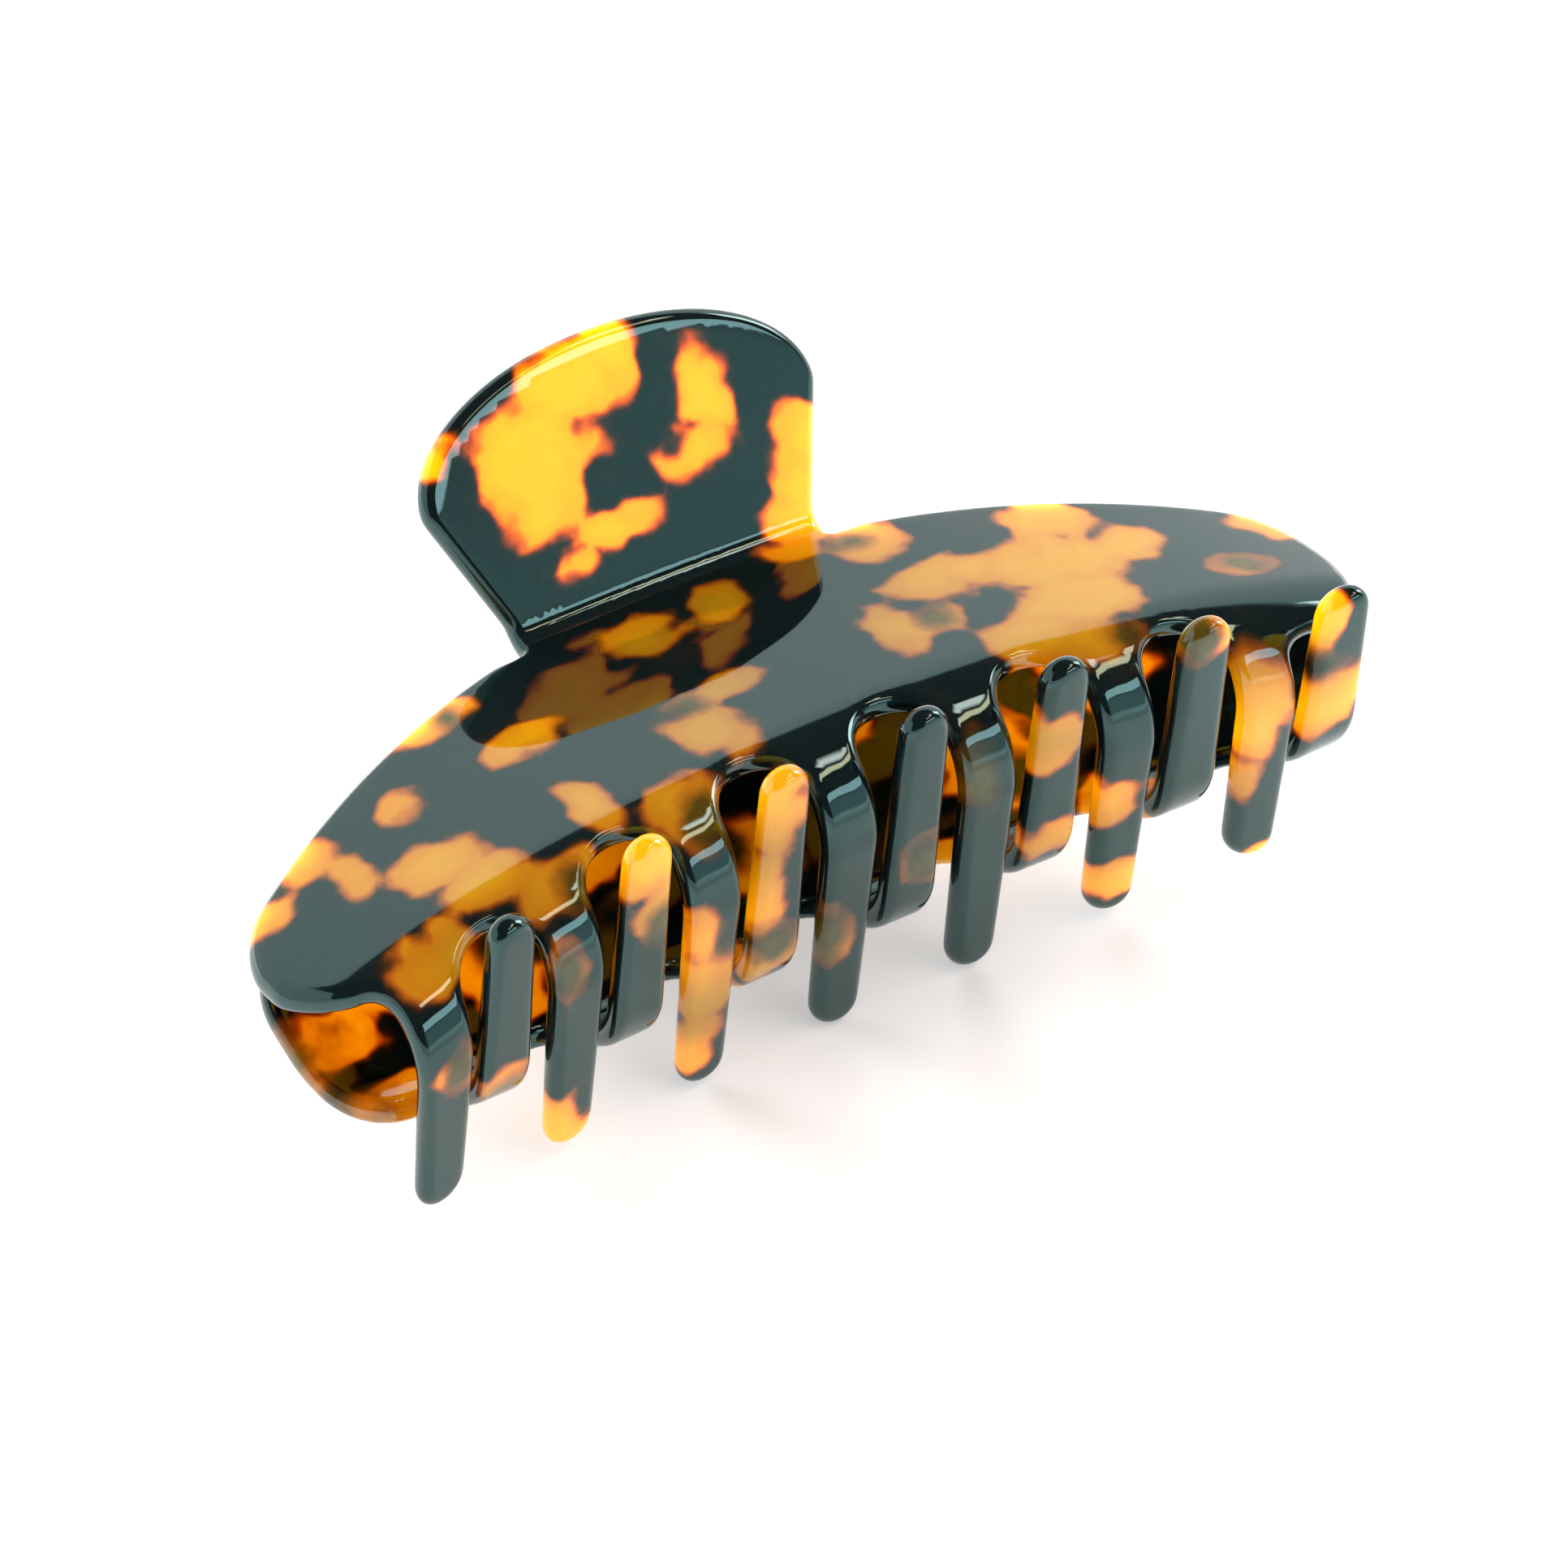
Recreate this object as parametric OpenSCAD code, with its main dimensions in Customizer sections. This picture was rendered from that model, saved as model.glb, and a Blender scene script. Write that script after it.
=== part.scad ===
// Claw clip: two identical jaws bent from acetate sheet, seven teeth each,
// on a sprung metal hinge. The clip lies at rest on a table: the teeth of the
// upper jaw and the handle of the lower jaw touch z = 0.
// X runs along the clip, -Y is the toothed front, +Y the handles, +Z is up.

/* [Sheet] */
// reach of a jaw from its middle, at the end with the first tooth
lobe_near = 53; // [52.5:0.1:55]
// reach of a jaw from its middle, at the other end
lobe_far = 51.2; // [50.5:0.1:53]
// thickness of the acetate sheet
sheet_t = 2.4; // [2:0.1:2.6]
// chamfer left by polishing every edge
edge_c = 0.5; // [0.3:0.1:0.7]
// slope of the panel, rising from the handle towards the teeth
panel_slope = 14; // [12:0.5:16]
// outer radius of the bend above the teeth
bend_r = 8; // [7:0.5:9]
// height of the outer panel face over the middle plane, at the handle
panel_h = 5.4; // [5.3:0.1:6.5]

/* [Teeth] */
// distance from tooth to tooth on one jaw
pitch = 13.6; // [13.4:0.1:13.8]
// width of a tooth at its root
root_w = 5.4; // [4.6:0.1:5.6]
// width of a tooth where its round tip begins
tip_w = 4.5; // [3.8:0.1:4.8]
// how far the middle tooth reaches past the middle plane
tooth_reach = 16.5; // [15:0.1:18]

/* [Handle] */
// width of the handle at its crease
handle_w = 30.4; // [28:0.2:33]
// greatest width of the handle
handle_top_w = 38.8; // [36:0.2:40]
// length of the handle from its crease to the middle of its end
handle_l = 22.4; // [20:0.1:24]
// angle of the handle over the middle plane
handle_a = 49; // [46:0.5:52]

/* [Hinge] */
// diameter of the hinge pin
pin_d = 2; // [1.8:0.1:2.2]
// running clearance of the pin in an ear, on the radius
pin_gap = 0.05; // [0.03:0.01:0.09]
// thickness of the hinge plates
plate_t = 0.8; // [0.6:0.1:1]
// diameter of the spring wire
wire_d = 1.1; // [0.9:0.1:1.2]

/* [Hidden] */

amber = [0.93, 0.58, 0.10];
shell = [0.16, 0.13, 0.12];
steel = [0.78, 0.74, 0.66];

// ---- the clip's attitude on the table ----
rest_tilt = 6.6;
rest_z = 18.17;
rest_y = -6.87;

// ---- lines of the sheet, all on its outer face ----
crease_y = 16.9;
crease_r = 2;
turn = panel_slope + handle_a;
crease_k = crease_r * tan(turn / 2);
crease_start = crease_y - crease_k * cos(panel_slope);
bend_turn = 90 + panel_slope;
bend_len = bend_r * bend_turn * PI / 180;

function face_y(x) = -16.8 - 0.0016 * x * x;
function droop(x) = 0.0012 * x * x + 0.00000042 * pow(x, 4);
function bend_y(x) = face_y(x) + bend_r * (1 + sin(panel_slope));
function panel_z(x, y) = panel_h + tan(panel_slope) * (crease_y - y) - droop(x);
function axis_y(x) = bend_y(x) - bend_r * sin(panel_slope);
function axis_z(x) = panel_z(x, bend_y(x)) - bend_r * cos(panel_slope);
function tip_z(x) = -tooth_reach + 0.0013 * x * x;
function tip_s(x) = bend_len + axis_z(x) - tip_z(x);
function gap_s(x) = 2.1 + 0.0016 * x * x;

// outline of the panel behind the teeth
function lobe_x(side) = side < 0 ? lobe_near : lobe_far;
function corner(x) = let (l = lobe_x(sign(x))) abs(x) < l - 4 ? 0
    : 4.5 * (1 - sqrt(max(0, 1 - pow((abs(x) - l + 4) / 4, 2))));
function back_y(x) = min(crease_start, 18 - 0.0067 * x * x - corner(x));
function back_s(x) = -(back_y(x) - bend_y(x)) / cos(panel_slope);

// a point of the sheet: s runs over the outer face from the start of the
// front bend (0) down the teeth (+) or back over the panel (-); d is the depth
function sheet(x, s, d) =
    s > bend_len ? [x, face_y(x) + d, axis_z(x) - (s - bend_len)]
    : s > 0 ? bend_pt(x, s / bend_r * 180 / PI - panel_slope, bend_r - d)
    : back_pt(x, -s, d, (crease_start - bend_y(x)) / cos(panel_slope));
function bend_pt(x, a, r) = [x, axis_y(x) - r * sin(a), axis_z(x) + r * cos(a)];
function back_pt(x, b, d, b0) =
    b <= b0 + 0.0001 ? flat_pt(x, b, d)
    : crease_pt(x, min(turn, (b - b0) / crease_r * 180 / PI), d,
                max(0, b - b0 - crease_r * turn * PI / 180));
function flat_pt(x, b, d) = [x, bend_y(x) + b * cos(panel_slope) - d * sin(panel_slope),
    panel_z(x, bend_y(x)) - b * sin(panel_slope) - d * cos(panel_slope)];
function crease_pt(x, t, d, e) = let (a = t - panel_slope)
    [x, crease_start + crease_r * sin(panel_slope) + (crease_r + d) * sin(a) + e * cos(a),
     panel_z(x, crease_start) + crease_r * cos(panel_slope) - (crease_r + d) * cos(a) + e * sin(a)];

// ---- the jaw as one sheet of cells, laid out in strips from back to tip ----
keys = 14;
first_x = -3.2;
function key_x(j) = j == 0 ? first_x - 3 * pitch - 4.5
    : first_x + (j - 7) * pitch / 2 + (j == 1 ? 0.4 : 0);
function key_s(j) = j == 0 ? 2.6 : j == keys ? 6.3 : gap_s(key_x(j));
function arch_h(j) = j == 0 ? 5.5 : j == keys ? 2.6 : 4.3;
function warp(x) = let (x0 = key_x(5), x1 = key_x(10), w = handle_w / 2)
    x < x0 ? -w + (x - x0) * (lobe_near - w) / (lobe_near + x0)
    : x > x1 ? w + (x - x1) * (lobe_far - w) / (lobe_far - x1)
    : -w + (x - x0) * 2 * w / (x1 - x0);
cols = [0, 0.08, 0.5, 0.92, 1];
rows = [0, 0.02, 0.3, 0.6, 0.84, 0.91, 0.975, 1];
panel_rows = len(rows) - 1;
arch_rows = 5;
curl_rows = 5;
stem_rows = 2;
tip_a = [25, 45, 62, 74];
tooth_rows = arch_rows + curl_rows + stem_rows + len(tip_a);

function mix(a, b, t) = a + (b - a) * t;
function key_pt(j, r) = let (f = rows[r], x = key_x(j), xb = warp(x))
    [mix(xb, x, f), mix(back_s(xb), key_s(j), f)];

// distance along a tooth below the top of the arch beside it
function down(k, h, bend_end, len) =
    k <= arch_rows ? h * (1 - cos(90 * k / arch_rows))
    : k <= arch_rows + curl_rows ? mix(h, bend_end, (k - arch_rows) / curl_rows)
    : k <= arch_rows + curl_rows + stem_rows
        ? mix(bend_end, len - tip_w / 2, (k - arch_rows - curl_rows) / stem_rows)
    : len - tip_w / 2 * (1 - sin(tip_a[k - arch_rows - curl_rows - stem_rows - 1]));
function half_w(k, v, h, len) =
    k > arch_rows + curl_rows + stem_rows
        ? tip_w / 2 * cos(tip_a[k - arch_rows - curl_rows - stem_rows - 1])
    : mix(root_w / 2, tip_w / 2, (v - h) / (len - tip_w / 2 - h));
function side_pt(j, c, k) =
    let (x0 = key_x(j), xc = key_x(c), h = arch_h(j), s0 = key_s(j), len = tip_s(xc) - s0)
    let (v = down(k, h, bend_len - s0, len), dir = sign(x0 - xc))
    k <= arch_rows
        ? [xc + dir * (abs(x0 - xc) - (abs(x0 - xc) - root_w / 2) * sin(90 * k / arch_rows)), s0 + v]
        : [xc + dir * half_w(k, v, h, len), s0 + v];
function mid_pt(j, c, k) =
    let (s0 = key_s(j), len = tip_s(key_x(c)) - s0, v = down(k, arch_h(j), bend_len - s0, len))
    [key_x(c), mix(gap_s(key_x(c)), tip_s(key_x(c)), mid_f(v, j, c))];
function mid_f(v, j, c) = let (s0 = (key_s(c - 1) + key_s(c + 1)) / 2)
    v / (tip_s(key_x(c)) - key_s(j));
function strip_pt(h, r, u) = let (c = h % 2 == 0 ? h + 1 : h, j = h % 2 == 0 ? h : h + 1)
    r <= panel_rows
        ? mix(key_pt(h, r), key_pt(h + 1, r), u)
        : let (m = tooth_mid(c, r - panel_rows), e = side_pt(j, c, r - panel_rows))
          h % 2 == 0 ? mix(e, m, u) : mix(m, e, u);
function tooth_mid(c, k) = (mid_pt(c - 1, c, k) + mid_pt(c + 1, c, k)) / 2;

// lobes beyond the outer teeth
lobe_cols = [0, 0.4, 0.7, 0.9, 0.97, 1];
function lobe_pt(side, r, u) =
    let (j = side < 0 ? 0 : keys, x0 = key_x(j), x1 = side * lobe_x(side), x = mix(x0, x1, u),
         xb = mix(warp(x0), x1, u),
         n = side < 0 ? 1.3 : 1.8, s1 = -4 + (key_s(j) + 4) * pow(max(0, 1 - pow(u, n)), 1 / n))
    [mix(xb, x, rows[r]), mix(back_s(xb), s1, rows[r])];

// handle: cells fan out from the crease to a rounded end
handle_rows = 10;
function grip_pt(h, q, u) = let (xb = mix(warp(key_x(h)), warp(key_x(h + 1)), u))
    let (k = xb / (handle_w / 2), t = 90 * (1 - k))
    let (e = [handle_top_w / 2 * sign(cos(t)) * pow(abs(cos(t)), 0.92),
              12.5 + (handle_l - 12.5) * pow(abs(sin(t)), 0.92)])
    let (b0 = (crease_start - bend_y(xb)) / cos(panel_slope), arc = crease_r * turn * PI / 180)
    q <= 4 ? [xb, -b0 - arc * q / 4]
    : let (f = q == handle_rows ? 1 : q == handle_rows - 1 ? 0.965 : (q - 4) / 6)
      [mix(xb, e[0], f), -b0 - arc - (e[1] - crease_k) * f];

// thin the sheet at its rim so that every edge is chamfered
function skin(p, rim) = [sheet(p[0], p[1], rim ? edge_c : 0),
                         sheet(p[0], p[1], sheet_t - (rim ? edge_c : 0))];
function on_tooth_rim(h, r, c) = let (last = len(cols) - 1)
    (r >= panel_rows && (h % 2 == 0 ? c == 0 : c == last))
    || r == panel_rows + tooth_rows
    || (r == 0 && !(h >= 5 && h <= 9))
    || (r == 0 && h == 5 && c == 0) || (r == 0 && h == 9 && c == last);
function strip_grid(h) = [for (r = [0 : panel_rows + tooth_rows]) [for (c = [0 : len(cols) - 1])
    skin(strip_pt(h, r, cols[c]), on_tooth_rim(h, r, c))]];
function lobe_grid(side) = [for (r = [0 : panel_rows]) [for (c = [0 : len(lobe_cols) - 1])
    skin(lobe_pt(side, r, lobe_cols[c]), r == 0 || r == panel_rows || c == len(lobe_cols) - 1)]];
function grip_grid(h) = [for (q = [0 : handle_rows]) [for (c = [0 : len(cols) - 1])
    skin(q == 0 ? strip_pt(h, 0, cols[c]) : grip_pt(h, q, cols[c]),
         q == handle_rows || (h == 5 && c == 0) || (h == 9 && c == len(cols) - 1))]];

// skins and rim walls of one grid of cells; each wall is named by its side
function quads(g, flip) = let (n = len(g[0]))
    [for (r = [0 : len(g) - 2], c = [0 : n - 2])
        flip ? [g[r][c], g[r][c + 1], g[r + 1][c + 1], g[r + 1][c]]
             : [g[r][c], g[r + 1][c], g[r + 1][c + 1], g[r][c + 1]]];
function faces_of(g, flip) = concat(
    [for (q = quads(g, flip)) [q[0][0], q[1][0], q[2][0]]],
    [for (q = quads(g, flip)) [q[0][0], q[2][0], q[3][0]]],
    [for (q = quads(g, flip)) [q[2][1], q[1][1], q[0][1]]],
    [for (q = quads(g, flip)) [q[3][1], q[2][1], q[0][1]]]);
function wall(line, flip) = [for (i = [0 : len(line) - 2], t = [0 : 1])
    let (a = line[i], b = line[i + 1])
    t == 0 ? (flip ? [a[0], b[1], a[1]] : [a[0], a[1], b[1]])
           : (flip ? [a[0], b[0], b[1]] : [a[0], b[1], b[0]])];
function column(g, c, r0) = [for (r = [r0 : len(g) - 1]) g[r][c]];
function jaw_tris() = let (last = len(cols) - 1, lc = len(lobe_cols) - 1) concat(
    [for (h = [0 : keys - 1]) let (g = strip_grid(h)) each concat(
        faces_of(g, false),
        wall(g[len(g) - 1], false),
        h % 2 == 0 ? wall(column(g, 0, panel_rows), false) : wall(column(g, last, panel_rows), true),
        h >= 5 && h <= 9 ? [] : wall(g[0], true))],
    [for (side = [-1, 1]) let (g = lobe_grid(side)) each concat(
        faces_of(g, side < 0), wall(g[0], side > 0), wall(g[panel_rows], side < 0),
        wall(column(g, lc, 0), side > 0))],
    [for (h = [5 : 9]) let (g = grip_grid(h)) each concat(
        faces_of(g, true), wall(g[handle_rows], true),
        h == 5 ? wall(column(g, 0, 0), true) : [],
        h == 9 ? wall(column(g, last, 0), false) : [])]);

module jaw() {
    tris = jaw_tris();
    pts = [for (t = tris, p = t) p];
    polyhedron(pts, [for (i = [0 : len(tris) - 1]) [3 * i + 2, 3 * i + 1, 3 * i]]);
}

// ---- hinge, on the middle plane behind the panels ----
pin_y = 15;
ear_x = 8.2;
plate_w = 19;
ear_r = 2.3;
coil_r = 2.35;
coil_turns = 5;
coil_gap = 1.18;
screw_x = 4;
screw_back = 5.4;
inner_z = panel_h + tan(panel_slope) * (crease_y - pin_y) - sheet_t / cos(panel_slope);

module at_rest() {
    translate([0, rest_y, rest_z]) rotate([rest_tilt, 0, 0]) children();
}
module lower_side() {
    rotate([0, 180, 0]) children();
}
// moves a shape drawn on the xy plane under the pin to the panel's inner face
module on_panel() {
    translate([0, pin_y, inner_z]) rotate([-panel_slope, 0, 0]) children();
}

// plate flat on the inner face of the panel, its ears reaching the pin
module hinge_plate(ear) {
    difference() {
        union() {
            on_panel() translate([-plate_w / 2, -8.4, -plate_t]) cube([plate_w, 6.8, plate_t]);
            for (s = [-1, 1]) translate([s * ear - plate_t / 2, 0, 0]) rotate([90, 0, 90])
                linear_extrude(plate_t) ear_outline();
        }
        translate([-plate_w, pin_y, 0]) rotate([0, 90, 0])
            cylinder(h = 2 * plate_w, r = pin_d / 2 + pin_gap, $fn = 48);
        for (s = [-1, 1]) on_panel() translate([s * screw_x, -screw_back, -2 * plate_t])
            cylinder(h = 3 * plate_t, r = 0.75, $fn = 32);
    }
}
module ear_outline() {
    hull() {
        translate([pin_y, 0]) circle(r = ear_r, $fn = 48);
        translate([pin_y, inner_z]) rotate(-panel_slope) translate([-7.2, -plate_t])
            square([5.6, plate_t / 2]);
    }
}
// small screws that bite into the sheet from the inside
module plate_screws() {
    for (s = [-1, 1]) on_panel() translate([s * screw_x, -screw_back, -plate_t]) {
        translate([0, 0, -0.55]) cylinder(h = 0.55, r1 = 1.1, r2 = 1.4, $fn = 32);
        cylinder(h = plate_t + 1.4, r = 0.7, $fn = 32);
    }
}

// spring wire: a leg under the lower handle, the coil round the pin and a leg
// under the upper handle
leg_y = 23.2;
leg_z = 8.1;
leg_l = norm([leg_y - pin_y, leg_z]);
leg_a = acos(coil_r / leg_l) - atan2(leg_z, leg_y - pin_y);
coil_a = 360 * coil_turns - 2 * leg_a;
coil_n = coil_turns * 20;
function coil_pt(i) = let (a = leg_a + coil_a * i / coil_n)
    [coil_gap * coil_a / 360 * (i / coil_n - 0.5), pin_y + coil_r * cos(a), coil_r * sin(a)];
function wire_path() = concat([[coil_pt(0)[0], leg_y, -leg_z]],
    [for (i = [0 : coil_n]) coil_pt(i)], [[coil_pt(coil_n)[0], leg_y, leg_z]]);
function unit(v) = v / norm(v);
function ring(path, i, n) =
    let (t = unit(path[min(i + 1, len(path) - 1)] - path[max(i - 1, 0)]))
    let (b = unit(cross([1, 0, 0], t)), c = cross(t, b))
    [for (k = [0 : n - 1]) path[i] + wire_d / 2 * (b * cos(360 * k / n) + c * sin(360 * k / n))];
module wire(path, n) {
    m = len(path);
    polyhedron([for (i = [0 : m - 1]) each ring(path, i, n)], concat(
        [[for (k = [0 : n - 1]) k]],
        [for (i = [0 : m - 2], k = [0 : n - 1]) let (l = (k + 1) % n)
            [i * n + k, (i + 1) * n + k, (i + 1) * n + l, i * n + l]],
        [[for (k = [0 : n - 1]) m * n - 1 - k]]));
}

module upper_jaw() {
    color(amber) at_rest() jaw();
}
module lower_jaw() {
    color(shell) at_rest() lower_side() jaw();
}
module upper_hinge_plate() {
    color(steel) at_rest() hinge_plate(ear_x);
}
module lower_hinge_plate() {
    color(steel) at_rest() lower_side() hinge_plate(ear_x - plate_t - 0.1);
}
module hinge_pin() {
    color(steel) at_rest() translate([-ear_x - plate_t / 2, pin_y, 0]) rotate([0, 90, 0]) {
        cylinder(h = 2 * ear_x + plate_t, r = pin_d / 2, $fn = 48);
        for (s = [-0.75, 2 * ear_x + plate_t + 0.05]) translate([0, 0, s])
            cylinder(h = 0.7, r = pin_d / 2 + 0.6, $fn = 48);
        translate([0, 0, -0.1]) cylinder(h = 2 * ear_x + plate_t + 0.2, r = pin_d / 2, $fn = 48);
    }
}
module torsion_spring() {
    color(steel) at_rest() wire(wire_path(), 10);
}
module upper_plate_screws() {
    color(steel) at_rest() plate_screws();
}
module lower_plate_screws() {
    color(steel) at_rest() lower_side() plate_screws();
}

upper_jaw();
lower_jaw();
upper_hinge_plate();
lower_hinge_plate();
hinge_pin();
torsion_spring();
upper_plate_screws();
lower_plate_screws();
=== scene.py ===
"""A tortoiseshell claw clip lying closed on a white table.

The two acetate jaws are rebuilt as smooth sheets with rounded edges from the
same lines as the CAD jaws, the spring is rebuilt as a wire coil with a leg at
each end, and the hinge plates, pin and screws keep their CAD shapes with metal
materials.
Lengths in the helpers are millimetres; meshes are written in metres.
"""

import math

import bpy
import numpy as np
from mathutils import Matrix, Vector
from mathutils.geometry import delaunay_2d_cdt


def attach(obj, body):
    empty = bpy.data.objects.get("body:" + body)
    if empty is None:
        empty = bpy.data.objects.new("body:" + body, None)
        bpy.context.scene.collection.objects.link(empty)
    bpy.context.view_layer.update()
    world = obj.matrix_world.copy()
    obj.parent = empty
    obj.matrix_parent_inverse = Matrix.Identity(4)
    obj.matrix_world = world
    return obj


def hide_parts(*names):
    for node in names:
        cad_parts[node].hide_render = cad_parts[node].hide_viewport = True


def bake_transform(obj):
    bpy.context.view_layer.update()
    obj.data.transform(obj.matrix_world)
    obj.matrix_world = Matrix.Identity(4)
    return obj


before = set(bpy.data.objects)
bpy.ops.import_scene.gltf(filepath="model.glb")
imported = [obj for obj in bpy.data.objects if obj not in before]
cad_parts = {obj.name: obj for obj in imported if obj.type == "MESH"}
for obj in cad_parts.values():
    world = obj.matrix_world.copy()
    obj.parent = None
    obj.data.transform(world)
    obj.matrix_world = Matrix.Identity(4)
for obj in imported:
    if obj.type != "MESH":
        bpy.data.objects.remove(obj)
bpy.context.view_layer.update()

MM = 0.001

# ---- lines of the sheet, all on its outer face ----
# x runs along the clip; s runs over the face from the start of the front bend
# (0) down the teeth (+) or back over the panel and up the handle (-). The panel
# rises to the front by SLOPE and the sheet turns up by TURN at the crease, whose
# arc starts CREASE_K before its corner.
SLOPE = math.radians(14)
TURN = SLOPE + math.radians(49)
SHEET_T = 2.4
EDGE_R = 1.12
BEND_R = 8.0
BEND_LEN = BEND_R * (math.pi / 2 + SLOPE)
CREASE_R = 2.0
CREASE_K = CREASE_R * math.tan(TURN / 2)
CREASE_Y = 16.9
CREASE_START = CREASE_Y - CREASE_K * math.cos(SLOPE)
CREASE_LEN = CREASE_R * TURN
PANEL_H = 5.4

# Teeth stand at odd keys 1 to 13 and the gaps beside them at even keys 0 to 14.
TOOTH_REACH = 16.5
PITCH = 13.6
ROOT_W = 5.4
TIP_W = 4.5
MIDDLE_KEY = 7
LAST_KEY = 14
MIDDLE_X = -3.2
FIRST_TOOTH_SHIFT = 0.4
END_GAP = 4.5
GAP_TOP = 2.1
GAP_TOP_AT_END = {0: 2.6, LAST_KEY: 6.3}
ARCH_H = 4.3
ARCH_H_AT_END = {0: 5.5, LAST_KEY: 2.6}

# Lobes at the left (-1) and right (1) end: how far out, how square in front and
# where their outermost point lies. The back corner is LOBE_ROUND by LOBE_CORNER.
LOBE_X = {-1: 53.0, 1: 51.2}
LOBE_POWER = {-1: 1.3, 1: 1.8}
LOBE_TIP_S = -4.0
LOBE_ROUND = 4.0
LOBE_CORNER = 4.5

HANDLE_W = 30.4
HANDLE_TOP_W = 38.8
HANDLE_L = 22.4
HANDLE_SHOULDER = 12.5
HANDLE_POWER = 0.92

# Where the curves across the clip stand in its middle, and how much they bow.
FACE_MIDDLE = -16.8
FACE_BOW = 0.0016
PANEL_BOW = 0.0012
PANEL_BOW_ENDS = 4.2e-7
TIP_BOW = 0.0013
GAP_BOW = 0.0016
BACK_BOW = 0.0067
BACK_MIDDLE = 18.0

# ---- the clip's attitude on the table ----
REST_TILT = math.radians(6.6)
REST_Y = -6.87
REST_Z = 18.17


def tilted(x, y, z):
    """From the clip's own axes to where it lies on the table."""
    cos, sin = math.cos(REST_TILT), math.sin(REST_TILT)
    return x, y * cos - z * sin + REST_Y, y * sin + z * cos + REST_Z


def face_y(x):
    return FACE_MIDDLE - FACE_BOW * x**2


def bend_y(x):
    return face_y(x) + BEND_R * (1 + math.sin(SLOPE))


def panel_z(x, y):
    droop = PANEL_BOW * x**2 + PANEL_BOW_ENDS * x**4
    return PANEL_H + math.tan(SLOPE) * (CREASE_Y - y) - droop


def axis_y(x):
    return bend_y(x) - BEND_R * math.sin(SLOPE)


def axis_z(x):
    return panel_z(x, bend_y(x)) - BEND_R * math.cos(SLOPE)


def tip_s(x):
    return BEND_LEN + axis_z(x) + TOOTH_REACH - TIP_BOW * x**2


def back_s(x):
    """The panel's back edge, with a rounded corner at the end of each lobe."""
    end = LOBE_X[1 if x > 0 else -1]
    u = max(0.0, (abs(x) - end + LOBE_ROUND) / LOBE_ROUND)
    corner = LOBE_CORNER * (1 - math.sqrt(max(0.0, 1 - u * u)))
    y = min(CREASE_START, BACK_MIDDLE - BACK_BOW * x * x - corner)
    return -(y - bend_y(x)) / math.cos(SLOPE)


def crease_s(x):
    return -(CREASE_START - bend_y(x)) / math.cos(SLOPE)


def sheet_points(x, s, d):
    """Points at place x, s of the sheet and depth d under its outer face."""
    y0, z0 = bend_y(x), panel_z(x, bend_y(x))
    cos, sin = math.cos(SLOPE), math.sin(SLOPE)
    bend_a = s / BEND_R - SLOPE
    bend_r = BEND_R - d
    past = crease_s(x) - s
    crease_a = np.clip(past / CREASE_R, 0, TURN) - SLOPE
    crease_r = CREASE_R + d
    up = np.maximum(0, past - CREASE_LEN)
    where = [s > BEND_LEN, s > 0, past <= 0]
    y = np.select(
        where,
        [face_y(x) + d, axis_y(x) - bend_r * np.sin(bend_a), y0 - s * cos - d * sin],
        CREASE_START + CREASE_R * sin + crease_r * np.sin(crease_a) + up * np.cos(crease_a),
    )
    z = np.select(
        where,
        [axis_z(x) - (s - BEND_LEN), axis_z(x) + bend_r * np.cos(bend_a), z0 + s * sin - d * cos],
        panel_z(x, CREASE_START) + CREASE_R * cos
        - crease_r * np.cos(crease_a) + up * np.sin(crease_a),
    )
    return np.stack([x, y, z], axis=1)


# ---- outline of the sheet in x, s ----
def key_x(j):
    """Centres of the teeth at odd j and of the gaps between them at even j."""
    if j == 0:
        return MIDDLE_X - 3 * PITCH - END_GAP
    return MIDDLE_X + (j - MIDDLE_KEY) * PITCH / 2 + (FIRST_TOOTH_SHIFT if j == 1 else 0)


def key_s(j):
    """Where the top of gap j lies."""
    return GAP_TOP_AT_END.get(j, GAP_TOP + GAP_BOW * key_x(j) ** 2)


def arch_h(j):
    """How far the round top of gap j reaches down its sides."""
    return ARCH_H_AT_END.get(j, ARCH_H)


def half_arch(c, j):
    """From the top of gap j to the root of tooth c."""
    x0, xc, top, h = key_x(j), key_x(c), key_s(j), arch_h(j)
    side = 1 if x0 > xc else -1
    span = abs(x0 - xc) - ROOT_W / 2
    turns = np.linspace(0, math.pi / 2, 16)
    return [
        (xc + side * (abs(x0 - xc) - span * math.sin(t)), top + h * (1 - math.cos(t)))
        for t in turns
    ]


def tooth_tip(c):
    x, s = key_x(c), tip_s(key_x(c)) - TIP_W / 2
    turns = np.linspace(math.pi, 0, 17)
    return [(x + TIP_W / 2 * math.cos(t), s + TIP_W / 2 * math.sin(t)) for t in turns]


def lobe_front(side):
    """From the outermost gap to the end of the lobe."""
    j = 0 if side < 0 else LAST_KEY
    power, top = LOBE_POWER[side], key_s(j)
    line = []
    for u in np.sin(np.linspace(0, math.pi / 2, 40)):
        x = key_x(j) + (side * LOBE_X[side] - key_x(j)) * u
        depth = max(0.0, 1 - u**power) ** (1 / power)
        line.append((x, LOBE_TIP_S + (top - LOBE_TIP_S) * depth))
    return line


def lobe_back(side):
    """From the end of the lobe to the foot of the handle."""
    end = LOBE_X[side]
    turns = np.linspace(0, math.pi / 2, 20)
    xs = [end - LOBE_ROUND + LOBE_ROUND * math.cos(t) for t in turns]
    xs += list(np.linspace(end - LOBE_ROUND - 0.5, HANDLE_W / 2, 60))
    return [(side * x, back_s(side * x)) for x in xs]


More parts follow.
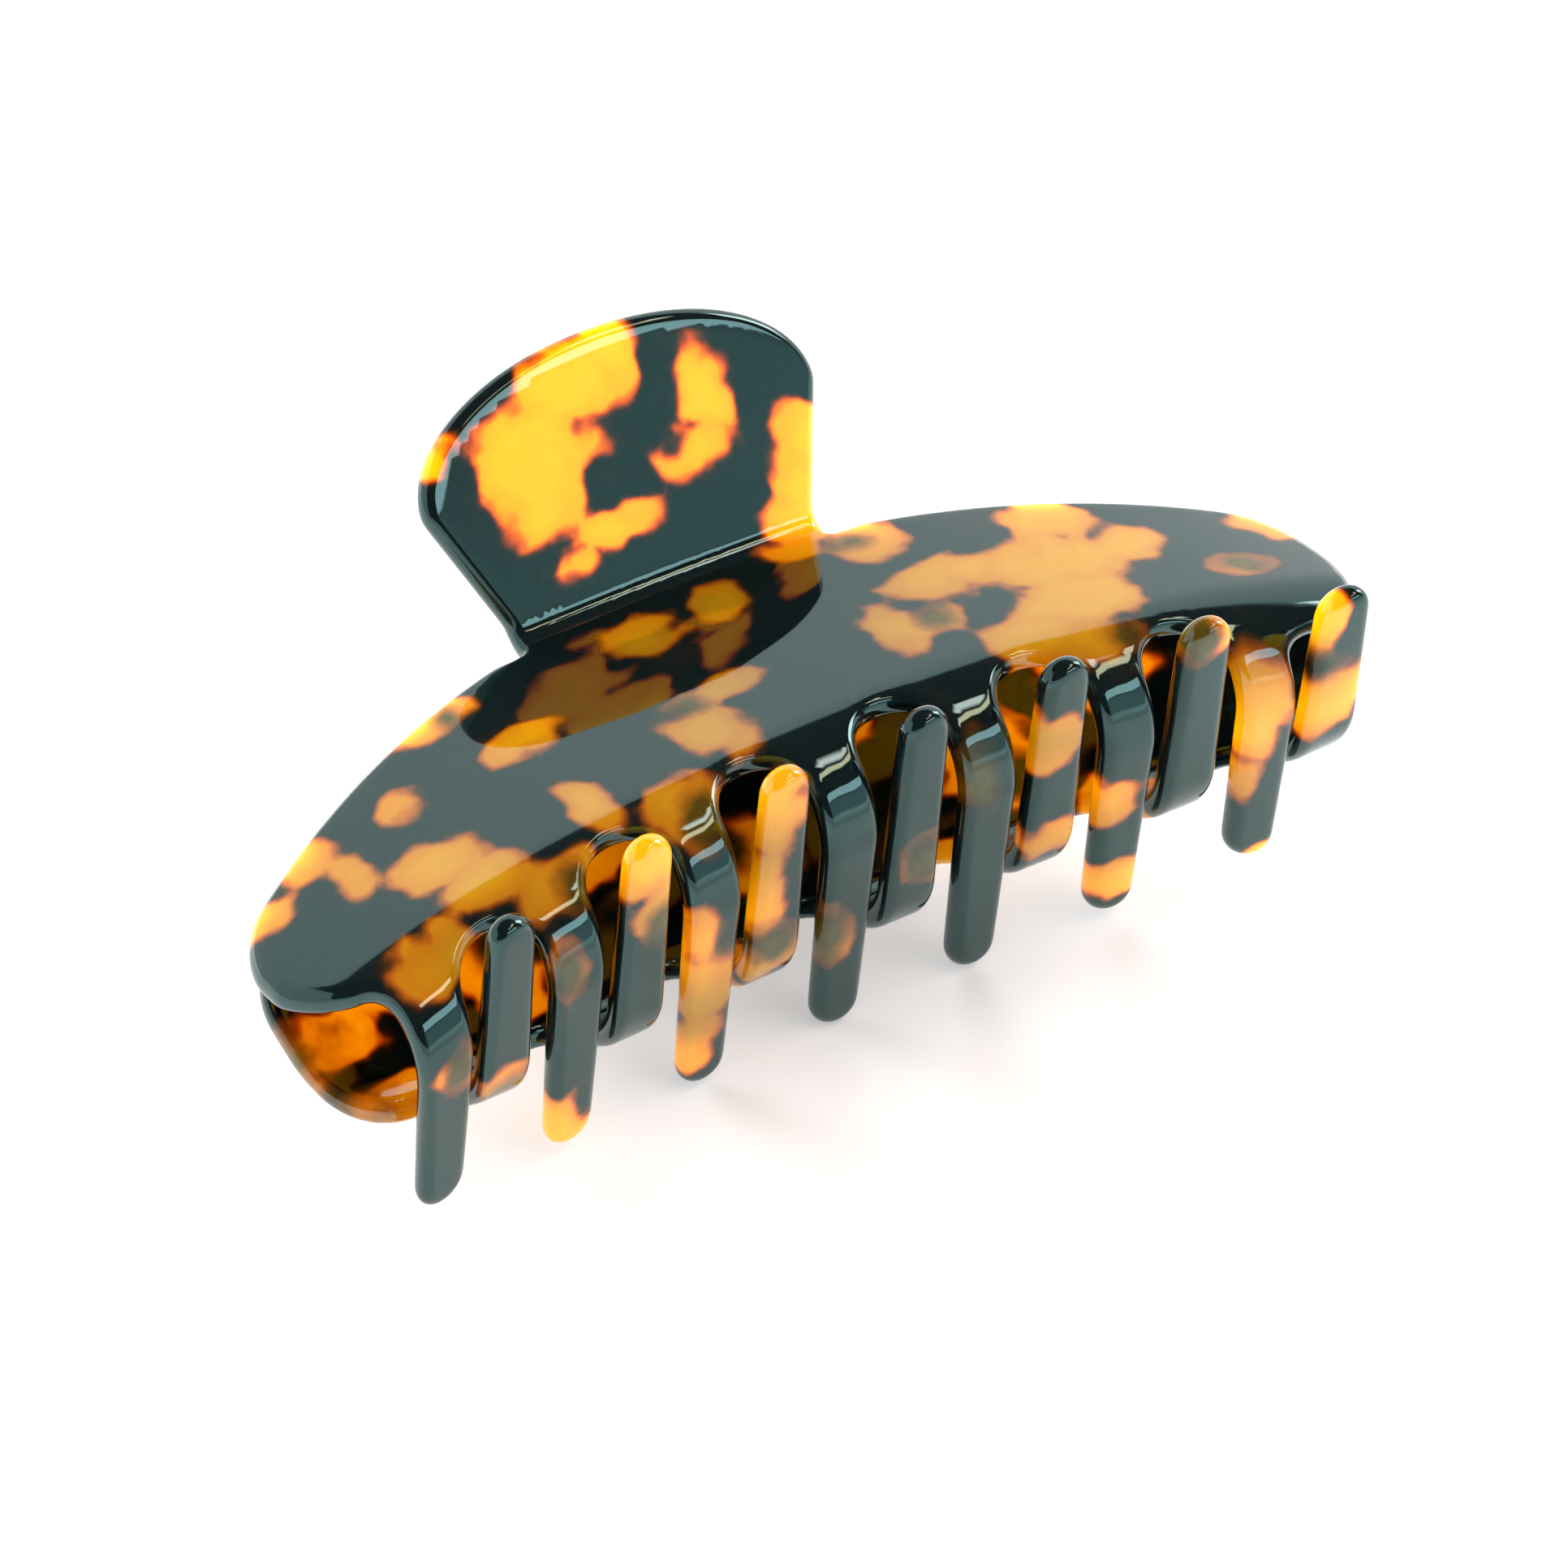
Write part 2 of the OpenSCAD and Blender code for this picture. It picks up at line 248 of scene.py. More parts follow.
def handle_edge():
    """From the right foot of the handle round its top to the left foot."""
    foot = HANDLE_W / 2
    start = crease_s(foot) - CREASE_LEN
    line = [(foot, start)]
    for t in np.linspace(0, math.pi, 60):
        x = HANDLE_TOP_W / 2 * math.copysign(abs(math.cos(t)) ** HANDLE_POWER, math.cos(t))
        up = HANDLE_SHOULDER + (HANDLE_L - HANDLE_SHOULDER) * math.sin(t) ** HANDLE_POWER
        base_x = foot * (1 - 2 * t / math.pi)
        line.append((x, crease_s(base_x) - CREASE_LEN - (up - CREASE_K)))
    return line + [(-foot, start)]


def outline():
    line = []
    for c in range(1, LAST_KEY, 2):
        line += half_arch(c, c - 1) + tooth_tip(c) + half_arch(c, c + 1)[::-1]
    line += lobe_front(1) + lobe_back(1) + handle_edge()
    line += lobe_back(-1)[::-1] + lobe_front(-1)[::-1]
    return smooth_loop(np.array(line), step=0.25, spread=0.5)


def smooth_loop(points, step, spread):
    """Even steps along a closed line, its corners rounded over about spread."""
    closed = np.vstack([points, points[:1]])
    far = np.hypot(*np.diff(closed, axis=0).T)
    along = np.concatenate([[0], np.cumsum(far)])
    count = int(along[-1] / step)
    at = np.linspace(0, along[-1], count, endpoint=False)
    loop = np.stack([np.interp(at, along, closed[:, k]) for k in (0, 1)], axis=1)
    reach = int(3 * spread / step)
    weights = np.exp(-0.5 * (np.arange(-reach, reach + 1) * step / spread) ** 2)
    weights /= weights.sum()
    return sum(w * np.roll(loop, k - reach, axis=0) for k, w in enumerate(weights))


def inside(points, loop):
    """Even-odd test of points against a closed line."""
    found = np.zeros(len(points), bool)
    px, ps = points[:, 0], points[:, 1]
    for (x0, s0), (x1, s1) in zip(loop, np.roll(loop, -1, axis=0)):
        if s0 == s1:
            continue
        crosses = (s0 > ps) != (s1 > ps)
        found ^= crosses & (px < (x1 - x0) * (ps - s0) / (s1 - s0) + x0)
    return found


# ---- the jaw's mesh ----
EDGE_ROWS = 8
GRID_EDGE_GAP = 0.45
GRID = 0.8
ROW_STEP = GRID * 0.87
GRID_X = 54
GRID_S = (-48, 32)
CREASE_ROWS = 12
CREASE_GRID = 0.6
CREASE_GRID_X = 14.2
CREASE_MARGIN = 0.1

# Moves the lower jaw along x in the noise, so that the two don't look alike.
LOWER_PATTERN_SHIFT = 137.0


def jaw_plan():
    """Places x, s, their depth at the rounded edge, the triangles on them, and how
    many of the places are on the rim; those come first."""
    rim = outline()
    ahead, behind = np.roll(rim, -1, axis=0), np.roll(rim, 1, axis=0)
    along = (ahead - behind) / np.linalg.norm(ahead - behind, axis=1)[:, None]
    area = np.sum(rim[:, 0] * ahead[:, 1] - ahead[:, 0] * rim[:, 1])
    inward = np.stack([-along[:, 1], along[:, 0]], axis=1) * (1 if area > 0 else -1)
    rows, depths = [], []
    for a in np.linspace(0, math.pi / 2, EDGE_ROWS):
        rows.append(rim + inward * EDGE_R * (1 - math.cos(a)))
        depths.append(np.full(len(rim), EDGE_R * (1 - math.sin(a))))
    core = rim + inward * (EDGE_R + GRID_EDGE_GAP)
    grid = []
    for k, s in enumerate(np.arange(*GRID_S, ROW_STEP)):
        xs = np.arange(-GRID_X, GRID_X, GRID) + (GRID / 2 if k % 2 else 0)
        grid.append(np.stack([xs, np.full(len(xs), s)], axis=1))
    for s_off in np.linspace(CREASE_MARGIN, CREASE_LEN - CREASE_MARGIN, CREASE_ROWS):
        xs = np.arange(-CREASE_GRID_X, CREASE_GRID_X, CREASE_GRID)
        grid.append(np.stack([xs, crease_s(xs) - s_off], axis=1))
    grid = np.vstack(grid)
    grid = grid[inside(grid, core)]
    places = np.vstack(rows + [grid])
    depth = np.concatenate(depths + [np.zeros(len(grid))])
    rim_count = len(rim)
    loop = [(i, (i + 1) % rim_count) for i in range(rim_count)]
    made = delaunay_2d_cdt([Vector(p) for p in places], loop, [], 1, 1e-6)
    source = [ids[0] for ids in made[3]]
    faces = [[source[v] for v in reversed(f)] for f in made[2]]
    return places, depth, faces, rim_count


def jaw_mesh(name, plan, lower):
    """The closed sheet. The lower jaw is the upper one turned half round about y.
    The attributes flat, patch and deep carry what the acetate material reads."""
    places, depth, faces, rim_count = plan
    x, s = places[:, 0], places[:, 1]
    count = len(places)
    outer = sheet_points(x, s, depth)
    inner = sheet_points(x, s, SHEET_T - depth)
    points = np.vstack([outer, inner])
    if lower:
        points = points * [-1, 1, -1]
    points = np.stack(tilted(*points.T), axis=1) * MM
    polys = [tuple(f) for f in faces]
    polys += [tuple(v + count for v in f[::-1]) for f in faces]
    following = [(i + 1) % rim_count for i in range(rim_count)]
    polys += [(i, i + count, j + count, j) for i, j in enumerate(following)]
    mesh = bpy.data.meshes.new(name)
    mesh.from_pydata(points.tolist(), [], polys)
    mesh.validate()
    mesh.update()
    mesh.shade_smooth()
    flat = mesh.attributes.new("flat", "FLOAT_VECTOR", "POINT")
    shift = LOWER_PATTERN_SHIFT if lower else 0.0
    deep = np.concatenate([depth, SHEET_T - depth])
    coords = np.stack([np.tile(x, 2) + shift, np.tile(s, 2), deep], axis=1)
    flat.data.foreach_set("vector", coords.astype(np.float32).ravel())
    jaw = "lower" if lower else "upper"
    for attribute, field in (("patch", amber_field), ("deep", deep_field)):
        values = np.tile(field(x, s, jaw), 2).astype(np.float32)
        mesh.attributes.new(attribute, "FLOAT", "POINT").data.foreach_set("value", values)
    sheet = bpy.data.objects.new(name, mesh)
    bpy.context.scene.collection.objects.link(sheet)
    return sheet


# ---- the tortoiseshell pattern ----
# Ellipses listed at x, s with half width and half height: AMBER patches,
# DEEP blotches under the surface, and DARK spots cut out of the amber. The last
# DEEP one of the lower jaw has its middle off the sheet, and clouds only that end.
AMBER = {
    "upper": [
        (-8.5, -38, 5.6, 5.4), (-3, -43, 5, 3.4), (1, -44, 2.5, 3.2), (-9, -33.5, 3, 2.2),
        (8.3, -39, 2.6, 3.6), (6, -34.2, 3.2, 2.0), (16.5, -32.5, 2.8, 3), (14.2, -28.5, 2.2, 4),
        (13, -25.5, 3.5, 3), (11, -22.8, 2.5, 2), (-3, -30.3, 3.6, 1.9), (-7.5, -28.7, 2.4, 1.1),
        (-17, -42, 1.8, 1.4), (-27, -20.5, 4, 2), (-49.5, -11.4, 2.0, 1.4), (-43.6, -13.6, 2.0, 1.8),
        (-42, -9.3, 1.3, 2.4), (-34.5, -13, 2.2, 1.8), (-36.5, -4.2, 3.8, 2.9), (-35, 0.4, 3.4, 2.6),
        (-23, -1, 1.8, 3.8), (-22.5, -12.5, 3.2, 2), (-6.5, -18.5, 3, 3), (1.5, -19, 2.4, 2.4),
        (-9.8, -3, 3, 4), (-6, -7.6, 4.4, 1.6), (10.8, -7, 2.4, 3.8), (14, -5.8, 2.2, 1.6),
        (19, -11.8, 5.4, 2.6), (28, -9, 7, 5), (31.5, -16, 3.6, 4.2), (26, -3, 6, 4.6),
        (20.5, 0.5, 4.6, 3), (35, -9.5, 3.4, 3), (24, 3, 4, 2.2), (16.5, -20.5, 2.8, 3),
        (50.5, -10.5, 4.2, 3.6), (42.5, -3, 2.4, 1.4), (-42, 4, 3.8, 2.8), (-43, 14, 1.8, 2.2),
        (-29, 4.5, 3.8, 2.4), (-31.5, 12, 1.3, 2.6), (-32, 28.5, 3, 3), (-29.5, 31.5, 2.2, 2),
        (-16.5, 4, 3.4, 3.2), (-18.3, 16, 1.6, 3), (-17.6, 22, 2.8, 4), (-18, 28, 2.2, 3),
        (-5, 23, 1.6, 3), (9.2, 11, 1.4, 3), (22.5, 19.5, 2.6, 2.6), (24, 29, 3, 1.9),
        (36, 12.5, 3.6, 5.4), (35.5, 21, 1.2, 2), (38.5, 30.4, 1.8, 1.4),
    ],
    "lower": [
        (37, 11, 3, 3), (24.5, 31.5, 3.4, 4), (23, 26, 2.4, 3.4), (12, 31, 3.2, 5),
        (12.6, 21, 2.3, 6), (11.4, 14, 3, 3.2), (-4, 18, 2, 2.4), (-15, 26, 3.4, 3.2),
        (-17, 14, 2.4, 2), (-29, 31.4, 2.8, 2.6), (-43, 18, 3, 4), (-41.6, 27, 1.7, 5),
        (47.5, -3.5, 5.5, 3), (46, 4.2, 6, 2.8), (40, -8, 4, 4), (50.5, 1, 1.6, 2.4), (30, -3, 4, 5),
        (18, -12, 6, 4), (4, -4, 4, 4), (-8, -14, 5, 4), (-20, -5, 5, 5),
        (-33, -10, 5, 4), (-46, -7, 4, 3), (27, -17, 3, 3), (-12, 4, 3, 3),
        (-28, 5, 3, 4), (12, 6, 3, 3), (-9, -37, 5, 5), (-5, -42, 5, 3.4),
        (-1, -44.5, 4, 2.5), (-8, -30, 3, 2.4), (6, -36, 4.6, 3), (10, -39.5, 3, 2.4),
        (12, -43, 3.5, 2.4), (3, -31, 2.4, 2.6), (-1, -27, 4, 2), (16.5, -31, 2, 4),
        (-16, -34, 1.6, 4), (-15, -27, 2, 2.4),
    ],
}
DEEP = {
    "upper": [
        (14.5, -6.5, 2.2, 3), (15.5, -21, 2.6, 2.2), (-9.5, -7, 2.4, 1.8), (-31.5, 12, 2, 3.4),
        (-43, 14, 2, 3), (-5, 23, 2.2, 4), (9.4, 11, 3, 6), (-15.6, 6, 3, 3.6),
        (-28.5, 5.5, 2.6, 2.6), (26.5, 3.5, 2.4, 2.2), (-16, 17, 1.6, 3), (42.5, -3, 3, 2),
        (-25.5, -20, 1.6, 2.2), (43, -14, 2, 2),
    ],
    "lower": [
        (-4, 18, 2.6, 4), (22, 22.5, 3, 4.6), (-29.5, 31, 2.4, 3), (11, 15.5, 3, 3),
        (37, 10, 3, 4), (-42, 22, 2, 2), (28, -6, 4, 3), (6, -6, 3, 3),
        (-22, -2, 3, 3), (-8, -36, 3, 3), (65, 0, 20, 20),
    ],
}
DARK = {
    "upper": [
        (2.2, -37.4, 3.0, 3.6), (-2.5, -34.6, 2.4, 2.6), (12.8, -38, 2.2, 3), (-15.6, -39.5, 2, 3.4),
        (20.6, -6.6, 2, 2.6), (23.5, -15, 4, 1.9), (13.5, -9.5, 1.6, 1.2), (31.4, -12.6, 0.7, 0.7),
        (33.5, -1.5, 3, 4), (38.8, -7, 2.4, 2.4), (-30, -4.5, 3, 3.8), (-41.8, 0, 1.6, 3),
        (-29.4, 26.5, 1.4, 2.2), (-15.6, 29.5, 1.6, 2.4), (-15.4, 13, 1.6, 2.2), (39.4, 19, 2, 4),
        (-26, 1.6, 2, 1.4), (17.4, -4.8, 1.2, 2.2),
    ],
    "lower": [
        (9.2, 24.5, 1.4, 2.6), (-43.8, 24, 1.7, 2.8), (-17.8, 19, 2, 2.6), (46, 0.6, 5, 1.5),
        (-3.5, -38, 2.4, 2.6), (-12.4, -34.6, 1.8, 2.4), (7.6, -33.6, 1.6, 1.2),
    ],
}


def patch_depth(x, s, patch):
    """Above 0 inside a patch, rising to its middle; small patches rise less."""
    px, ps, wide, high = patch
    return (1 - np.hypot((x - px) / wide, (s - ps) / high)) * min(1.0, (wide + high) / 7)


def deep_field(x, s, jaw):
    """Above 0 where a dark blotch lies deeper in the sheet, with soft edges."""
    return np.max([patch_depth(x, s, patch) for patch in DEEP[jaw]], axis=0)


def amber_field(x, s, jaw):
    """Above 0 in the amber patches, 0 on their edges and below 0 in the dark."""
    field = np.full(len(x), -1.5)
    for patch in AMBER[jaw]:
        field = np.maximum(field, patch_depth(x, s, patch))
    for patch in DARK[jaw]:
        field = np.minimum(field, -patch_depth(x, s, patch))
    return field


# ---- small helpers for node materials ----
class Nodes:
    """Builds a node tree with short calls."""

    def __init__(self, tree):
        self.tree = tree
        kind = next(node.bl_idname for node in tree.nodes if "Output" in node.bl_idname)
        tree.nodes.clear()
        self.out = tree.nodes.new(kind)

    def add(self, kind, settings=None, **inputs):
        node = self.tree.nodes.new(kind)
        for key, value in (settings or {}).items():
            setattr(node, key, value)
        for key, value in inputs.items():
            self.feed(node.inputs[key.replace("_", " ")], value)
        return node

    def feed(self, socket, value):
        if isinstance(value, bpy.types.NodeSocket):
            self.tree.links.new(value, socket)
        else:
            socket.default_value = value

    def math(self, operation, a, b=0.0, c=0.0):
        node = self.tree.nodes.new("ShaderNodeMath")
        node.operation = operation
        for socket, value in zip(node.inputs, (a, b, c)):
            self.feed(socket, value)
        return node.outputs[0]

    def noise(self, vector, scale, detail, roughness=0.5):
        return self.add(
            "ShaderNodeTexNoise", Vector=vector, Scale=scale, Detail=detail, Roughness=roughness,
        ).outputs["Fac"]

    def ramp(self, value, stops):
        node = self.add("ShaderNodeValToRGB", Fac=value)
        stops_made = node.color_ramp.elements
        while len(stops_made) < len(stops):
            stops_made.new(0.5)
        for stop, (place, colour) in zip(stops_made, stops):
            stop.position = place
            stop.color = (*colour, 1)
        return node.outputs["Color"]

    def mix(self, factor, a, b, blend="MIX"):
        node = self.tree.nodes.new("ShaderNodeMix")
        node.data_type = "RGBA"
        node.blend_type = blend
        self.feed(node.inputs["Factor"], factor)
        self.feed(node.inputs[6], a)
        self.feed(node.inputs[7], b)
        return node.outputs[2]

    def smooth(self, value, low, high, to_low=0.0, to_high=1.0):
        node = self.tree.nodes.new("ShaderNodeMapRange")
        node.interpolation_type = "SMOOTHSTEP"
        for socket, setting in zip(node.inputs, (value, low, high, to_low, to_high)):
            self.feed(socket, setting)
        return node.outputs[0]

    def stretched(self, vector, scale):
        return self.add("ShaderNodeMapping", Vector=vector, Scale=scale).outputs[0]


def new_material(name):
    material = bpy.data.materials.new(name)
    material.use_nodes = True
    return material, Nodes(material.node_tree)


EDGE_PLACE = 0.60


def acetate():
    """Amber patches that let light in among opaque dark ones, read from the
    jaw's attributes and made irregular by smooth cells and noise. A patch's edge
    falls at EDGE_PLACE on the colour ramp."""
    material, nodes = new_material("tortoiseshell_acetate")
    flat = nodes.add("ShaderNodeAttribute", {"attribute_name": "flat"}).outputs["Vector"]
    patch = nodes.add("ShaderNodeAttribute", {"attribute_name": "patch"}).outputs["Fac"]
    warp = nodes.add("ShaderNodeTexNoise", Vector=flat, Scale=0.17, Detail=1.0).outputs["Color"]
    # The sheet's own coordinates, bent so that the cells look irregular.
    bent = nodes.mix(0.5, flat, nodes.mix(1.0, flat, nodes.stretched(warp, (9, 9, 9)), "ADD"))
    cells = nodes.add(
        "ShaderNodeTexVoronoi", {"feature": "SMOOTH_F1"}, Vector=bent, Scale=0.26, Smoothness=0.5,
    ).outputs["Distance"]
    # The cells and a fine noise push each patch's edge in and out.
    ragged = nodes.math("MULTIPLY_ADD", cells, 0.75, -0.27)
    crumbs = nodes.math("MULTIPLY_ADD", nodes.noise(flat, 0.6, 1), 0.24, -0.12)
    amount = nodes.math("ADD", nodes.math("ADD", patch, ragged), crumbs)
    deep = nodes.add("ShaderNodeAttribute", {"attribute_name": "deep"}).outputs["Fac"]
    # The deeper a blotch lies, the softer its edge.
    hidden = nodes.math("ADD", deep, nodes.math("MULTIPLY", nodes.noise(flat, 0.3, 2), 0.8))
    blur = nodes.smooth(hidden, 0.25, 0.7, 0.5, 0.2)
    place = nodes.math("MULTIPLY_ADD", amount, blur, EDGE_PLACE)
    colour = nodes.ramp(place, [
        (0.0, (0.004, 0.009, 0.010)),
        (0.49, (0.005, 0.010, 0.010)),
        (0.54, (0.04, 0.014, 0.003)),
        (0.60, (0.26, 0.07, 0.002)),
        (0.68, (0.52, 0.185, 0.002)),
        (0.90, (0.60, 0.245, 0.003)),
    ])
    # Deep blotches are murky, and the dark has faint warm spots.
    cloud = nodes.ramp(hidden, [(0.3, (1, 1, 1)), (0.85, (0.20, 0.33, 0.3))])
    colour = nodes.mix(1.0, colour, cloud, "MULTIPLY")
    faint = nodes.ramp(nodes.noise(bent, 0.15, 1), [(0.34, (0.006, 0.0015, 0.0)), (0.42, (0, 0, 0))])
    colour = nodes.mix(1.0, colour, faint, "ADD")
    # How far light travels inside: far in the amber, red furthest, hardly in the dark.
    clear = nodes.ramp(place, [(0.52, (0.01, 0.01, 0.01)), (0.68, (1.0, 0.57, 0.04))])
    clear = nodes.mix(1.0, clear, cloud, "MULTIPLY")
    wave = nodes.noise(flat, 0.07, 1)
    bump = nodes.add("ShaderNodeBump", Height=wave, Strength=0.15, Distance=0.0004)
    rough = nodes.math("MULTIPLY_ADD", nodes.noise(flat, 0.9, 3), 0.04, 0.004)
    shader = nodes.add(
        "ShaderNodeBsdfPrincipled", {"subsurface_method": "RANDOM_WALK"},
        Base_Color=colour, Roughness=rough, IOR=1.5,
        Subsurface_Weight=1.0, Subsurface_Radius=clear, Subsurface_Scale=0.02,
        Specular_Tint=(0.56, 1.0, 0.97, 1), Specular_IOR_Level=1.0, Normal=bump.outputs[0],
    )
    nodes.feed(nodes.out.inputs["Surface"], shader.outputs[0])
    return material


def metal(name, colour, streak, roughness):
    """Steel with fine brushing along streak, in the object's own space."""
    material, nodes = new_material(name)
    place = nodes.add("ShaderNodeTexCoord").outputs["Object"]
    grain = nodes.noise(nodes.stretched(place, streak), 1.0, 3, 0.6)
    cloud = nodes.noise(place, 260.0, 2)
    tint = nodes.mix(nodes.math("MULTIPLY", cloud, 0.5), (*colour, 1), (*[c * 0.72 for c in colour], 1))
    rough = nodes.math("MULTIPLY_ADD", grain, 0.18, roughness)
    bump = nodes.add("ShaderNodeBump", Height=grain, Strength=0.12, Distance=0.00003)
    shader = nodes.add(
        "ShaderNodeBsdfPrincipled", Base_Color=tint, Metallic=1.0, Roughness=rough,
        Normal=bump.outputs[0],
    )
    nodes.feed(nodes.out.inputs["Surface"], shader.outputs[0])
    return material


# ---- hinge spring ----
PIN_Y = 15.0
COIL_R = 2.35
COIL_TURNS = 5
COIL_STEPS = 32
COIL_GAP = 1.18
WIRE_R = 0.55
LEG_Y, LEG_Z = 23.2, 8.1


def at_rest(point):
    return Vector(tilted(*point)) * MM


def spring():
    """The coil with a straight leg at each end. Returns it and how far along x it
    reaches from its middle."""
    leg_l = math.hypot(LEG_Y - PIN_Y, LEG_Z)
    start = math.acos(COIL_R / leg_l) - math.atan2(LEG_Z, LEG_Y - PIN_Y)
    sweep = 2 * math.pi * COIL_TURNS - 2 * start
    reach = COIL_GAP * sweep / (2 * math.pi) / 2
    path = [(-reach, LEG_Y, -LEG_Z)]
    coil = []
    for k in range(COIL_TURNS * COIL_STEPS + 1):
        u = k / (COIL_TURNS * COIL_STEPS)
        a = start + sweep * u
        coil.append((2 * reach * (u - 0.5), PIN_Y + COIL_R * math.cos(a), COIL_R * math.sin(a)))
    for u in (0.3, 0.6, 0.85):
        path.append(tuple(p + (q - p) * u for p, q in zip((-reach, LEG_Y, -LEG_Z), coil[0])))
    path += coil
    for u in (0.15, 0.4, 0.7, 1.0):
        path.append(tuple(p + (q - p) * u for p, q in zip(coil[-1], (reach, LEG_Y, LEG_Z))))
    curve = bpy.data.curves.new("spring_wire", "CURVE")
    curve.dimensions = "3D"
    curve.bevel_depth = WIRE_R * MM
    curve.bevel_resolution = 5
    curve.use_fill_caps = True
    line = curve.splines.new("POLY")
    line.points.add(len(path) - 1)
    for point, place in zip(line.points, path):
        point.co = (*at_rest(place), 1)
    drawn = bpy.data.objects.new("spring_wire", curve)
    bpy.context.scene.collection.objects.link(drawn)
    bpy.context.view_layer.update()
    mesh = bpy.data.meshes.new_from_object(drawn)
    bpy.data.objects.remove(drawn)
    wire = bpy.data.objects.new("spring_wire", mesh)
    mesh.shade_smooth()
    bpy.context.scene.collection.objects.link(wire)
    return wire, reach


# ---- build the pieces ----
ACETATE = acetate()
PLATE = metal("plate_steel", (0.78, 0.74, 0.66), (40, 2500, 2500), 0.24)
PIN = metal("pin_steel", (0.70, 0.69, 0.67), (2500, 300, 300), 0.2)
WIRE = metal("spring_steel", (0.62, 0.61, 0.60), (900, 300, 300), 0.26)

plan = jaw_plan()
upper = jaw_mesh("upper_jaw_sheet", plan, lower=False)
lower = jaw_mesh("lower_jaw_sheet", plan, lower=True)
for piece, body, node in ((upper, "upper", "upper_jaw"), (lower, "lower", "lower_jaw")):
    piece.data.materials.append(ACETATE)
    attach(piece, body)
    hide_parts(node)

wire, coil_reach = spring()
wire.data.materials.clear()
wire.data.materials.append(WIRE)
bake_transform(wire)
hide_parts("torsion_spring")

for node, material in (
    ("upper_hinge_plate", PLATE), ("lower_hinge_plate", PLATE), ("hinge_pin", PIN),
    ("upper_plate_screws", PIN), ("lower_plate_screws", PIN),
):
    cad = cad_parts[node]
    cad.data.materials.clear()
    cad.data.materials.append(material)

# ---- table, in metres ----
HALF_TABLE = 3.0
TABLE_GLOW = 0.30
floor_mesh = bpy.data.meshes.new("table")
corners = [(x * HALF_TABLE, y * HALF_TABLE, 0) for x, y in ((-1, -1), (1, -1), (1, 1), (-1, 1))]
floor_mesh.from_pydata(corners, [], [(0, 1, 2, 3)])
floor = bpy.data.objects.new("table", floor_mesh)
bpy.context.scene.collection.objects.link(floor)
table_white, nodes = new_material("white_table")
place = nodes.add("ShaderNodeTexCoord").outputs["Object"]
white = nodes.ramp(nodes.noise(place, 30.0, 3), [(0.3, (0.90, 0.90, 0.90)), (0.7, (0.93, 0.93, 0.93))])
paper = nodes.add(
    "ShaderNodeBsdfPrincipled", Base_Color=white, Roughness=0.9,
    Emission_Color=(1, 1, 1, 1), Emission_Strength=TABLE_GLOW,
)
nodes.feed(nodes.out.inputs["Surface"], paper.outputs[0])
floor_mesh.materials.append(table_white)

# ---- camera ----
AIM = Vector((-0.36, -8.82, 15.93)) * MM
AZIMUTH, ELEVATION, ROLL = (math.radians(a) for a in (-33.4, 39.2, 0.43))
DISTANCE = 0.65815
SENSOR_MM = 36
LENS_MM = 180.48
back = Vector((
    math.sin(AZIMUTH) * math.cos(ELEVATION),
    -math.cos(AZIMUTH) * math.cos(ELEVATION),
    math.sin(ELEVATION),
))
camera = bpy.data.objects.new("camera", bpy.data.cameras.new("camera"))
camera.data.sensor_width = SENSOR_MM
camera.data.lens = LENS_MM
camera.data.clip_start = 0.05
camera.location = AIM + back * DISTANCE
camera.rotation_euler = (
    back.to_track_quat("Z", "Y").to_matrix() @ Matrix.Rotation(ROLL, 3, "Z")
).to_euler()
bpy.context.scene.collection.objects.link(camera)
bpy.context.scene.camera = camera


# ---- light ----
def panel_light(name, place, target, size, power):
    """A white area light that reflections don't show."""
    lamp = bpy.data.lights.new(name, "AREA")
    lamp.shape = "RECTANGLE"
    lamp.size, lamp.size_y = size
    lamp.energy = power
    holder = bpy.data.objects.new(name, lamp)
    holder.location = place
    holder.rotation_euler = (Vector(place) - Vector(target)).to_track_quat("Z", "Y").to_euler()
    holder.visible_glossy = False
    bpy.context.scene.collection.objects.link(holder)


def band(nodes, value, low, high, soft):
    """1 between low and high, 0 outside, with edges soft degrees wide."""
    rise = nodes.smooth(value, low - soft, low + soft)
    return nodes.math("SUBTRACT", rise, nodes.smooth(value, high - soft, high + soft))


# The backdrop ends at an elevation in degrees, low in front and high behind.
BACKDROP_FRONT = 9.0
BACKDROP_BACK = 43.0
BACKDROP_LEVEL = 1.0
BACKDROP_RIGHT_LEVEL = 1.12
ROOM_LEVEL = 0.08

# Softboxes round the table in degrees: azimuths from the front towards +x,
# elevations, width of the soft edge; then their strength and colour.
SOFTBOXES = [
    ((0, 60), (4, 27), 4.0, 0.75, (0.75, 0.95, 1.0)),
    ((4, 50), (27, 35), 0.6, 3.8, (0.85, 0.92, 1.0)),
    ((12, 80), (51.5, 55.5), 0.8, 9.0, (1.0, 0.6, 0.4)),
    ((84, 104), (20, 42), 1.0, 9.0, (1.0, 0.9, 0.86)),
    ((50, 74), (58, 62), 1.5, 9.0, (1.0, 0.7, 0.66)),
]


